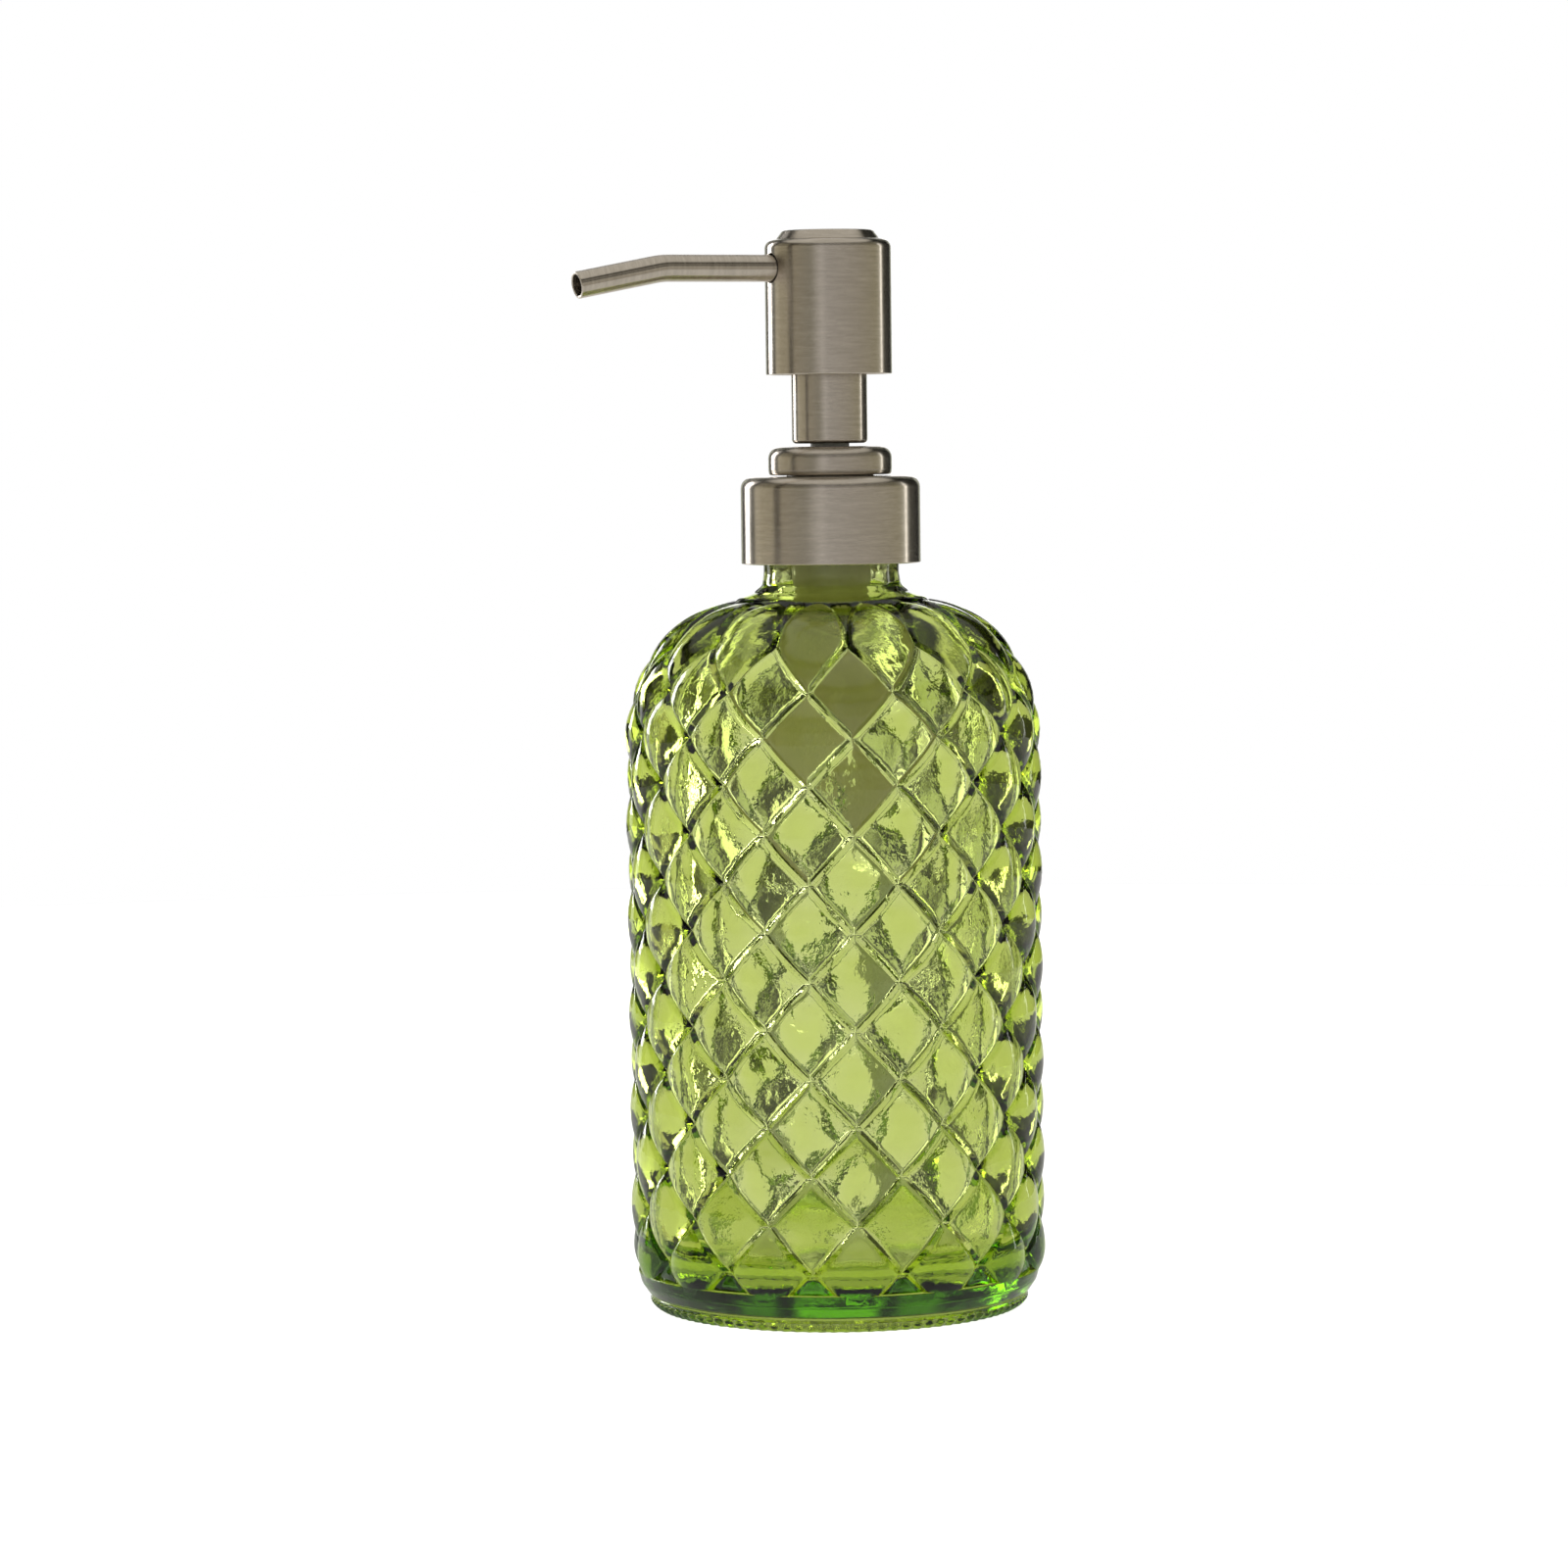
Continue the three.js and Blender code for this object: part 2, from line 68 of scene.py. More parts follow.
def makePiece(name, points, faces):
    data = bpy.data.meshes.new(name)
    data.from_pydata([(x * mm, y * mm, z * mm) for x, y, z in points], [], faces)
    data.validate()
    data.shade_smooth()
    piece = bpy.data.objects.new(name, data)
    bpy.context.scene.collection.objects.link(piece)
    return piece


def rounded(corners, steps=6):
    # corners are (radius, z) or (radius, z, fillet); gives the outline with its fillets drawn in
    outline = []
    last = len(corners) - 1
    for i, corner in enumerate(corners):
        here = Vector(corner[:2])
        fillet = corner[2] if len(corner) > 2 else 0
        onAxis = i in (0, last) and corner[0] < 1e-6
        if fillet <= 0 or onAxis:
            outline.append(tuple(here))
            continue
        back = (Vector(corners[i - 1][:2]) - here).normalized()
        ahead = (Vector(corners[(i + 1) % len(corners)][:2]) - here).normalized()
        half = back.angle(ahead) / 2
        start = here + back * fillet / math.tan(half)
        centre = here + (back + ahead).normalized() * fillet / math.sin(half)
        spoke = start - centre
        sweep = math.pi - 2 * half
        turn = 1 if back.x * ahead.y - back.y * ahead.x < 0 else -1
        for k in range(steps + 1):
            angle = turn * sweep * k / steps
            c, s = math.cos(angle), math.sin(angle)
            outline.append((centre.x + spoke.x * c - spoke.y * s, centre.y + spoke.x * s + spoke.y * c))
    return outline


def turnedMesh(outline, segments, shape=None):
    # points and faces of an outline turned about Z; shape(radius, z, angle) may move a point
    points, rings, faces = [], [], []
    for radius, z in outline:
        if radius < 1e-6:
            rings.append([len(points)])
            points.append((0, 0, z))
            continue
        rings.append(list(range(len(points), len(points) + segments)))
        for k in range(segments):
            angle = 2 * math.pi * k / segments
            r, h = shape(radius, z, angle) if shape else (radius, z)
            points.append((r * math.cos(angle), r * math.sin(angle), h))
    pairs = list(zip(rings, rings[1:]))
    if outline[0][0] > 1e-6:
        pairs.append((rings[-1], rings[0]))
    for lower, upper in pairs:
        if len(lower) == len(upper) == 1:
            continue
        for k in range(segments):
            n = (k + 1) % segments
            if len(lower) == 1:
                faces.append((lower[0], upper[n], upper[k]))
            elif len(upper) == 1:
                faces.append((lower[k], lower[n], upper[0]))
            else:
                faces.append((lower[k], lower[n], upper[n], upper[k]))
    return points, faces


def turned(name, corners, segments=160, steps=6):
    # a body of revolution; the outline runs anticlockwise seen with Z up and the axis on the left
    points, faces = turnedMesh(rounded(corners, steps), segments)
    return makePiece(name, points, faces)


def cut(piece, tool, how):
    step = piece.modifiers.new(how, "BOOLEAN")
    step.operation = how
    step.solver = "MANIFOLD"
    step.object = tool


def settle(piece, *tools):
    # applies the modifiers and removes the cutting tools
    graph = bpy.context.evaluated_depsgraph_get()
    data = bpy.data.meshes.new_from_object(piece.evaluated_get(graph))
    piece.modifiers.clear()
    piece.data = data
    data.name = piece.name
    for tool in tools:
        bpy.data.objects.remove(tool)


def crisp(piece):
    # smooth round the curves, sharp where two faces meet at more than this
    sharp = 32
    piece.data.shade_smooth()
    piece.data.set_sharp_from_angle(angle=math.radians(sharp))
    even = piece.modifiers.new("even normals", "WEIGHTED_NORMAL")
    even.keep_sharp = True


def finishPiece(piece, body, slot, material, *nodes):
    piece.data.materials.clear()
    piece.data.materials.append(material)
    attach(piece, body)
    if nodes:
        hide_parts(*nodes)


def newGroup(name, inputs, outputs):
    group = bpy.data.node_groups.new(name, "ShaderNodeTree")
    for label, kind, value in inputs:
        socket = group.interface.new_socket(label, in_out="INPUT", socket_type=kind)
        if value is not None:
            socket.default_value = value
    for label, kind in outputs:
        group.interface.new_socket(label, in_out="OUTPUT", socket_type=kind)
    entry = group.nodes.new("NodeGroupInput")
    leave = group.nodes.new("NodeGroupOutput")
    return group, entry, leave


def mathNode(tree, operation, first, second=None):
    node = tree.nodes.new("ShaderNodeMath")
    node.operation = operation
    for socket, value in zip(node.inputs, (first, second)):
        if value is None:
            continue
        if isinstance(value, (int, float)):
            socket.default_value = value
        else:
            tree.links.new(value, socket)
    return node.outputs[0]


def brushedGroup():
    # fine straight scratches: long across the vector's X and Y, thin along its Z
    group, entry, leave = newGroup(
        "brushed lines",
        [("Vector", "NodeSocketVector", None), ("Fineness", "NodeSocketFloat", 9000.0),
         ("Run", "NodeSocketFloat", 90.0), ("Grit", "NodeSocketFloat", 0.5)],
        [("Lines", "NodeSocketFloat"), ("Streaks", "NodeSocketFloat")],
    )
    stretch = group.nodes.new("ShaderNodeCombineXYZ")
    for axis, source in zip("XYZ", ("Run", "Run", "Fineness")):
        group.links.new(entry.outputs[source], stretch.inputs[axis])
    scaled = group.nodes.new("ShaderNodeVectorMath")
    scaled.operation = "MULTIPLY"
    group.links.new(entry.outputs["Vector"], scaled.inputs[0])
    group.links.new(stretch.outputs[0], scaled.inputs[1])
    fine = group.nodes.new("ShaderNodeTexNoise")
    fine.inputs["Scale"].default_value = 1.0
    fine.inputs["Detail"].default_value = 3.0
    group.links.new(scaled.outputs[0], fine.inputs["Vector"])
    group.links.new(entry.outputs["Grit"], fine.inputs["Roughness"])
    broad = group.nodes.new("ShaderNodeTexNoise")
    broad.inputs["Scale"].default_value = 0.22
    broad.inputs["Detail"].default_value = 2.0
    group.links.new(scaled.outputs[0], broad.inputs["Vector"])
    group.links.new(fine.outputs["Fac"], leave.inputs["Lines"])
    group.links.new(broad.outputs["Fac"], leave.inputs["Streaks"])
    return group


def smudgeGroup():
    # slow, soft patches, as from handling and polishing
    group, entry, leave = newGroup(
        "soft patches",
        [("Vector", "NodeSocketVector", None), ("Scale", "NodeSocketFloat", 60.0),
         ("Low", "NodeSocketFloat", 0.0), ("High", "NodeSocketFloat", 1.0)],
        [("Patches", "NodeSocketFloat")],
    )
    cloud = group.nodes.new("ShaderNodeTexNoise")
    cloud.inputs["Detail"].default_value = 4.0
    group.links.new(entry.outputs["Vector"], cloud.inputs["Vector"])
    group.links.new(entry.outputs["Scale"], cloud.inputs["Scale"])
    spread = group.nodes.new("ShaderNodeMapRange")
    spread.interpolation_type = "SMOOTHSTEP"
    spread.inputs["From Min"].default_value = 0.35
    spread.inputs["From Max"].default_value = 0.65
    group.links.new(cloud.outputs["Fac"], spread.inputs["Value"])
    group.links.new(entry.outputs["Low"], spread.inputs["To Min"])
    group.links.new(entry.outputs["High"], spread.inputs["To Max"])
    group.links.new(spread.outputs["Result"], leave.inputs["Patches"])
    return group


def wornEdgeGroup():
    # a mask of the outward edges, where handling rubs a finish brighter
    group, entry, leave = newGroup(
        "worn edges",
        [("Vector", "NodeSocketVector", None), ("Start", "NodeSocketFloat", 0.53),
         ("Full", "NodeSocketFloat", 0.62)],
        [("Mask", "NodeSocketFloat")],
    )
    shape = group.nodes.new("ShaderNodeNewGeometry")
    mask = group.nodes.new("ShaderNodeMapRange")
    group.links.new(shape.outputs["Pointiness"], mask.inputs["Value"])
    group.links.new(entry.outputs["Start"], mask.inputs["From Min"])
    group.links.new(entry.outputs["Full"], mask.inputs["From Max"])
    breakUp = group.nodes.new("ShaderNodeTexNoise")
    breakUp.inputs["Scale"].default_value = 900.0
    group.links.new(entry.outputs["Vector"], breakUp.inputs["Vector"])
    product = mathNode(group, "MULTIPLY", mask.outputs["Result"], breakUp.outputs["Fac"])
    group.links.new(product, leave.inputs["Mask"])
    return group


brushedLines = brushedGroup()
softPatches = smudgeGroup()
wornEdges = wornEdgeGroup()
print("shader groups: brushed lines, soft patches, worn edges")


def newMaterial(name, **values):
    material = bpy.data.materials.new(name)
    material.use_nodes = True
    tree = material.node_tree
    shader = tree.nodes["Principled BSDF"]
    for label, value in values.items():
        shader.inputs[label.replace("_", " ")].default_value = value
    place = tree.nodes.new("ShaderNodeTexCoord")
    return material, tree, shader, place


def placeGroup(tree, group, vector, **values):
    node = tree.nodes.new("ShaderNodeGroup")
    node.node_tree = group
    tree.links.new(vector, node.inputs["Vector"])
    for label, value in values.items():
        node.inputs[label].default_value = value
    return node


def mixColours(tree, share, first, second):
    mix = tree.nodes.new("ShaderNodeMix")
    mix.data_type = "RGBA"
    tree.links.new(share, mix.inputs["Factor"])
    for socket, value in ((mix.inputs["A"], first), (mix.inputs["B"], second)):
        if isinstance(value, tuple):
            socket.default_value = (*value, 1.0)
        else:
            tree.links.new(value, socket)
    return mix.outputs["Result"]


def bump(tree, shader, height, strength, distance):
    node = tree.nodes.new("ShaderNodeBump")
    node.inputs["Strength"].default_value = strength
    node.inputs["Distance"].default_value = distance
    tree.links.new(height, node.inputs["Height"])
    tree.links.new(node.outputs["Normal"], shader.inputs["Normal"])


glassLook = {
    "tint": (0.797, 0.896, 0.031),
    "density": 192.0,    # each channel fades at density * (1 - tint) a metre
    "ior": 1.52,
    "roughness": 0.01,
    "ripple": 0.00006,   # height of the soft waves left by pressing, in metres
    "rippleScale": 300.0,
    "rippleShare": 0.35,
}


def quiltedGlass():
    material, tree, shader, place = newMaterial(
        "green pressed glass", Base_Color=(1, 1, 1, 1), Roughness=glassLook["roughness"],
        IOR=glassLook["ior"], Transmission_Weight=1.0,
    )
    depth = tree.nodes.new("ShaderNodeVolumeAbsorption")
    depth.inputs["Color"].default_value = (*glassLook["tint"], 1)
    depth.inputs["Density"].default_value = glassLook["density"]
    tree.links.new(depth.outputs["Volume"], tree.nodes["Material Output"].inputs["Volume"])
    ripple = placeGroup(tree, softPatches, place.outputs["Object"], Scale=glassLook["rippleScale"])
    bump(tree, shader, ripple.outputs["Patches"], glassLook["rippleShare"], glassLook["ripple"])
    return material


nickelLook = {
    "colour": (0.64, 0.575, 0.495),
    "streak": (0.52, 0.465, 0.395),
    "bright": (0.76, 0.71, 0.64),
    "roughness": (0.17, 0.27),
    "anisotropy": 0.82,
    "lines": {"Fineness": 9000.0, "Run": 900.0, "Grit": 0.6},
    "lineContrast": (0.12, 0.42),
    "lineDepth": 0.00002,
    "smudge": 0.35,      # share of the roughness that the soft patches bring
}


def brushedNickel(name, aroundX=False):
    material, tree, shader, place = newMaterial(
        name, Metallic=1.0, Anisotropic=nickelLook["anisotropy"], Anisotropic_Rotation=0.25,
    )
    vector = place.outputs["Object"]
    if aroundX:  # the spout's scratches run round its own length
        swap = tree.nodes.new("ShaderNodeMapping")
        swap.inputs["Rotation"].default_value = (0, math.pi / 2, 0)
        tree.links.new(vector, swap.inputs["Vector"])
        vector = swap.outputs["Vector"]
    lines = placeGroup(tree, brushedLines, vector, **nickelLook["lines"])
    patches = placeGroup(tree, softPatches, place.outputs["Object"], Scale=95.0)
    worn = placeGroup(tree, wornEdges, place.outputs["Object"])
    share = mathNode(tree, "MULTIPLY", lines.outputs["Lines"], lines.outputs["Streaks"])
    faint, full = nickelLook["lineContrast"]
    contrast = tree.nodes.new("ShaderNodeMapRange")
    contrast.inputs["From Min"].default_value = faint
    contrast.inputs["From Max"].default_value = full
    tree.links.new(share, contrast.inputs["Value"])
    ground = mixColours(tree, contrast.outputs["Result"], nickelLook["streak"], nickelLook["colour"])
    colour = mixColours(tree, worn.outputs["Mask"], ground, nickelLook["bright"])
    tree.links.new(colour, shader.inputs["Base Color"])
    low, high = nickelLook["roughness"]
    rough = tree.nodes.new("ShaderNodeMapRange")
    rough.inputs["To Min"].default_value = low
    rough.inputs["To Max"].default_value = high
    mixed = mathNode(tree, "MULTIPLY", patches.outputs["Patches"], nickelLook["smudge"])
    tree.links.new(mathNode(tree, "ADD", mixed, lines.outputs["Lines"]), rough.inputs["Value"])
    tree.links.new(rough.outputs["Result"], shader.inputs["Roughness"])
    bump(tree, shader, lines.outputs["Lines"], 0.25, nickelLook["lineDepth"])
    tangent = tree.nodes.new("ShaderNodeTangent")
    tangent.direction_type = "RADIAL"
    tangent.axis = "X" if aroundX else "Z"
    tree.links.new(tangent.outputs["Tangent"], shader.inputs["Tangent"])
    return material


def brightSteel():
    material, tree, shader, place = newMaterial(
        "bright steel", Base_Color=(0.68, 0.67, 0.65, 1), Metallic=1.0,
    )
    patches = placeGroup(tree, softPatches, place.outputs["Object"], Scale=400.0, Low=0.14, High=0.26)
    tree.links.new(patches.outputs["Patches"], shader.inputs["Roughness"])
    return material


def mouldedPlastic(name, light, dark, roughness, grain=2600.0, **values):
    # a moulded finish: slow shifts of tone and a very fine satin grain
    material, tree, shader, place = newMaterial(name, **values)
    tone = placeGroup(tree, softPatches, place.outputs["Object"], Scale=140.0)
    tree.links.new(mixColours(tree, tone.outputs["Patches"], dark, light), shader.inputs["Base Color"])
    satin = placeGroup(
        tree, softPatches, place.outputs["Object"], Scale=grain,
        Low=roughness - 0.06, High=roughness + 0.06,
    )
    tree.links.new(satin.outputs["Patches"], shader.inputs["Roughness"])
    bump(tree, shader, satin.outputs["Patches"], 0.2, 0.00001)
    return material


greenGlass = quiltedGlass()
nickel = brushedNickel("brushed nickel")
nickelSpout = brushedNickel("brushed nickel spout", aroundX=True)
steel = brightSteel()
whitePlastic = mouldedPlastic("white plastic", (0.80, 0.80, 0.77), (0.70, 0.70, 0.66), 0.42)
housingPlastic = mouldedPlastic("housing plastic", (0.80, 0.74, 0.60), (0.68, 0.62, 0.50), 0.38)
tubePlastic = mouldedPlastic(
    "dip tube plastic", (0.90, 0.93, 0.88), (0.80, 0.85, 0.78), 0.30,
    Transmission_Weight=0.15, IOR=1.5,
)
rubber = mouldedPlastic("black rubber", (0.030, 0.030, 0.029), (0.018, 0.018, 0.018), 0.7)
print("materials ready")


quilt = {
    "halfColumns": 28,
    "turn": -122.5,      # polar angle of half-column 0
    "firstRow": 10.8,    # height of row 0, where the lowest whole diamonds are centred
    "pitch": 8.84,
    "rows": 14,
    "pillow": 2.2,       # how far a whole dome would fall from its crown to its corners
    "strip": 0.12,       # share of a diamond's half width taken by the groove between domes
    "groove": 0.74,      # how far the groove goes below the edge of the domes
    "archEnd": 85.5,     # shoulder angle at the tips of the top row's arches
    "archEase": 0.55,    # share of a top dome's height that is gone at its arch's tip
    "endPitch": 0.5,     # height of a row past the pattern's lower end
    "endAngle": 4,       # shoulder angle taken by a row past its upper end
}
form = {
    "radius": 38.75,
    "shoulderRadius": 14, "shoulderZ": 106, "shoulderRise": 26.9,
    "heelRadius": 29.5, "heelZ": 11.5, "heelDrop": 12.5,
    "wall": 4.2, "floor": 8.2, "bore": 10.3,
    "neck": 12.55, "land": levels("bottle")[1],
}


def envelope(row):
    # radius, height and outward normal of the bottle's outer form at rows of the quilt
    z = quilt["firstRow"] + quilt["pitch"] * row
    z = np.where(row < -1, quilt["firstRow"] - quilt["pitch"] + (row + 1) * quilt["endPitch"], z)
    top = quilt["rows"] - 1
    topZ = quilt["firstRow"] + quilt["pitch"] * top
    rise = np.clip((z - form["shoulderZ"]) / form["shoulderRise"], 0, 1)
    angle = np.arcsin(rise)
    start = math.asin((topZ - form["shoulderZ"]) / form["shoulderRise"])
    end = math.radians(quilt["archEnd"])
    arched = start + (row - top) * (end - start)
    beyond = end + (row - top - 1) * math.radians(quilt["endAngle"])
    angle = np.where(row > top, np.where(row > top + 1, beyond, arched), angle)
    width = form["radius"] - form["shoulderRadius"]
    drop = np.clip((form["heelZ"] - z) / form["heelDrop"], 0, 1)
    heelWidth = form["radius"] - form["heelRadius"]
    heelAngle = np.arcsin(drop)
    radius = np.where(
        z < form["heelZ"], form["heelRadius"] + heelWidth * np.cos(heelAngle),
        form["shoulderRadius"] + width * np.cos(angle),
    )
    height = np.where(angle > 0, form["shoulderZ"] + form["shoulderRise"] * np.sin(angle), z)
    out = np.where(z < form["heelZ"], np.cos(heelAngle) / heelWidth, np.cos(angle) / width)
    up = np.where(
        z < form["heelZ"], -np.sin(heelAngle) / form["heelDrop"],
        np.sin(angle) / form["shoulderRise"],
    )
    length = np.hypot(out, up)
    return radius, height, out / length, up / length


def arch(t):
    # half width of a top-row arch, from its widest level up to its tip
    return np.clip(1 - t * t, 0, 1) ** 0.6


def quiltBody():
    edge = 1 - quilt["strip"]
    half = [0, 0.17, 0.34, 0.5, 0.65, 0.78, edge - 0.015, edge + 0.015, 0.955, 1]
    steps = np.array([-x for x in half[:0:-1]] + half)
    a, b = np.meshgrid(steps, steps, indexing="ij")
    across, along = (a + b) / 2, (a - b) / 2
    fall = np.minimum(np.abs(a), edge) ** 2 + np.minimum(np.abs(b), edge) ** 2
    inside = np.clip((np.maximum(np.abs(a), np.abs(b)) - edge) / (1 - edge), 0, 1)
    groove = quilt["groove"] * inside
    count = len(steps)
    square = [
        (i * count + k, (i + 1) * count + k, (i + 1) * count + k + 1, i * count + k + 1)
        for i in range(count - 1) for k in range(count - 1)
    ]
    top = quilt["rows"] - 1
    points, faces = [], []
    for row in range(-1, quilt["rows"] + 1):
        shift, pillow = across, quilt["pillow"] / 2 * np.ones_like(a)
        with np.errstate(divide="ignore", invalid="ignore"):
            if row == top:
                share = np.where(along < 1, across / (1 - along), 0)
                shift = np.where(along > 0, share * arch(along), across)
                pillow = pillow * (1 - quilt["archEase"] * np.clip(along, 0, 1))
            if row == top + 1:
                share = np.where(along > -1, across / (1 + along), 0)
                shift = np.where(along < 0, share * (1 - arch(1 + along)), across)
                pillow = pillow * (1 - quilt["archEase"] * np.clip(1 + along, 0, 1))
        if 0 <= row <= top:
            depth = pillow * fall + groove
        else:  # the part diamonds at the pattern's ends are flat and sunk
            depth = pillow * (edge * edge + np.maximum(fall - edge * edge, 0)) + quilt["groove"]
        radius, height, out, up = envelope(row + along)
        r = (radius - depth * out).ravel()
        h = (height - depth * up).ravel()
        for column in range((row + 1) % 2, quilt["halfColumns"], 2):
            angle = np.radians(quilt["turn"] + (column + shift) * 360 / quilt["halfColumns"]).ravel()
            base = len(points)
            points.extend(zip(r * np.cos(angle), r * np.sin(angle), h))
            faces.extend(tuple(base + i for i in face) for face in square)
    return points, faces


def quiltPiece():
    weld, sliver = 0.004 * mm, 0.001 * mm
    insideFoot, insideNeck, near = 1.2 * mm, 131.8 * mm, 10 * mm
    points, faces = quiltBody()
    piece = makePiece("bottle_glass", points, faces)
    mesh = bmesh.new()
    mesh.from_mesh(piece.data)
    bmesh.ops.remove_doubles(mesh, verts=mesh.verts, dist=weld)
    bmesh.ops.dissolve_degenerate(mesh, edges=mesh.edges, dist=sliver)
    for level in (insideFoot, insideNeck):
        # close the open zigzag ends inside the foot and the neck
        rim = [e for e in mesh.edges if e.is_boundary and abs(e.verts[0].co.z - level) < near]
        if not rim:
            continue
        hub = mesh.verts.new((0, 0, level))
        for edge in rim:
            mesh.faces.new((edge.verts[0], edge.verts[1], hub))
    bmesh.ops.recalc_face_normals(mesh, faces=mesh.faces)
    print("quilt: %d faces, open edges %d" % (len(mesh.faces), sum(not e.is_manifold for e in mesh.edges)))
    mesh.to_mesh(piece.data)
    mesh.free()
    piece.data.shade_smooth()
    return piece


foot = {
    "teeth": 94, "toothDepth": 0.5,
    "standInner": 28.5, "standOuter": 33.2, "recess": 4.0,
}


def footBody():
    outline = [
        (0, 0.6), (foot["standInner"] - 1, 0.6), (foot["standInner"], 0, 0.4), (foot["standOuter"], 0, 0.3),
        (34.6, 1.35, 0.5), (35.35, 2.5, 0.2), (35.15, 2.8, 0.15), (35.75, 3.1, 0.3),
        (37.0, 4.9, 2.5), (37.62, 7.2, 0.18), (30, 7.2), (0, 7.2),
    ]
    return turned("foot", outline, segments=168, steps=4)


def footTeeth():
    inner, outer, top = 31.0, 35.05, 1.8

    def tooth(radius, z, angle):
        if not inner < radius < outer or z > top:
            return radius, z
        wave = 0.5 - 0.5 * math.cos(foot["teeth"] * angle)
        return radius + foot["toothDepth"] * wave, z
    outline = [(31.2, 0.4), (33.3, 0.05), (34.1, 0.55), (34.75, 1.25), (34.9, 1.75), (34.0, 1.9), (31.2, 1.9)]
    points, faces = turnedMesh(outline, foot["teeth"] * 6, tooth)
    return makePiece("teeth", points, faces)


def pushUp():
    # what the middle of the foot is hollowed by
    inner, recess = foot["standInner"], foot["recess"]
    return turned("push_up", [
        (0, -1), (inner, -1), (inner, 0.3), (inner - 2, recess, 1.8), (0, recess + 1.6),
    ], segments=168)


def neckBody():
    neck, land = form["neck"], form["land"]
    outline = [
        (0, 129.0), (19.0, 129.0), (19.0, 130.5, 0.4), (17.4, 132.2, 2.5), (14.4, 133.3, 1.2),
        (neck + 0.3, 134.6, 1.2), (neck, 136.6, 1.5), (neck, land, 0.7), (0, land),
    ]
    return turned("neck", outline, segments=168, steps=5)


def threadBody():
    # the raised thread on the neck, under the collar
    thread = {"start": 141.4, "pitch": 4.233, "turns": 1.35, "rise": 1.2}
    steps = 96
    root = form["neck"] - 0.4
    points, faces = [], []
    for i in range(steps + 1):
        t = i / steps
        angle = t * thread["turns"] * 2 * math.pi
        z = thread["start"] + t * thread["turns"] * thread["pitch"]
        fade = min(1, 8 * t + 0.05, 8 * (1 - t) + 0.05)
        crest = root + 0.4 + thread["rise"] * fade
        for r, h in ((root, -1.05), (crest - 0.25, -0.55), (crest, 0), (crest - 0.25, 0.55), (root, 1.05)):
            points.append((r * math.cos(angle), r * math.sin(angle), z + h))
        if i:
            low, high = (i - 1) * 5, i * 5
            for k in range(5):
                n = (k + 1) % 5
                faces.append((low + k, high + k, high + n, low + n))
    faces.append(tuple(range(5)))
    faces.append(tuple(steps * 5 + k for k in range(4, -1, -1)))
    return makePiece("thread", points, faces)


def cavityBody():
    inner = form["radius"] - form["wall"]
    bore, land = form["bore"], form["land"]
    outline = [(0, form["floor"] + 0.9), (18, form["floor"] + 0.2)]
    corner, cornerSteps = 9.0, 8
    for k in range(cornerSteps + 1):
        angle = math.radians(-90 + 90 * k / cornerSteps)
        outline.append((
            inner - corner + corner * math.cos(angle),
            form["floor"] + corner * (1 + math.sin(angle)),
        ))
    outline += [(inner, z) for z in np.linspace(22, form["shoulderZ"], 44)[:-1]]
    width = inner - form["shoulderRadius"]
    shoulderEnd, shoulderSteps = 80, 16
    for k in range(shoulderSteps + 1):
        angle = math.radians(shoulderEnd * k / shoulderSteps)
        outline.append((
            form["shoulderRadius"] + width * math.cos(angle),
            form["shoulderZ"] + (form["shoulderRise"] - form["wall"]) * math.sin(angle),
        ))
    outline += [
        (14.0, 129.3), (11.9, 130.3), (10.8, 131.6), (bore, 133.4), (bore, land - 0.4),
        (bore + 0.4, land), (bore + 0.4, land + 2), (0, land + 2),
    ]
    broad = {"swell": 0.3, "span": 15}
    small = {"swell": 0.26, "span": 5}
    evenAbove = 126

    def uneven(radius, z, angle):
        # the inside of pressed glass is never quite true
        if radius < bore + 3 or z > evenAbove:
            return radius, z
        at = Vector((radius * math.cos(angle), radius * math.sin(angle), z))
        slow = broad["swell"] * noise.noise(at / broad["span"])
        quick = small["swell"] * noise.noise(at / small["span"])
        return radius + slow + quick, z
    points, faces = turnedMesh(outline, 192, uneven)
    return makePiece("cavity", points, faces)


def buildBottle():
    piece = quiltPiece()
    tools = [footBody(), footTeeth(), neckBody(), threadBody()]
    for tool in tools:
        cut(piece, tool, "UNION")
    hollows = [cavityBody(), pushUp()]
    for tool in hollows:
        cut(piece, tool, "DIFFERENCE")
    settle(piece, *tools, *hollows)
    piece.data.shade_smooth()
    piece.data.set_sharp_from_angle(angle=math.radians(38))
    finishPiece(piece, "bottle", "green_glass", greenGlass, "bottle")
    print("bottle: %d faces" % len(piece.data.polygons))


buildBottle()


def metalShell(name, corners, body, node):
    piece = turned(name, corners)
    crisp(piece)
    finishPiece(piece, body, "brushed_nickel", nickel, node)


def buildCollar():
    low, high = levels("collar_shell")
    radius = reach("collar_shell")
    skin, hole = 0.6, 8.5
    metalShell("collar_cladding", [
        (radius - skin, low, 0.15), (radius, low, 0.25), (radius, high, 2.1), (hole, high, 0.1),
        (hole, high - skin, 0.1), (radius - skin, high - skin, 1.5),
    ], "collar", "collar_shell")


def buildBoss():
    low, high = levels("boss_cover")
    radius = reach("boss_cover")
    skin, hole = 0.6, 7.4
    metalShell("boss_cladding", [
        (radius - skin, low, 0.1), (radius - 0.15, low, 0.45), (radius, low + 1.0, 0.6), (radius, high, 2.1),
        (hole, high, 0.2), (hole, high - skin, 0.1), (radius - skin, high - skin, 1.5),
    ], "pump_body", "boss_cover")


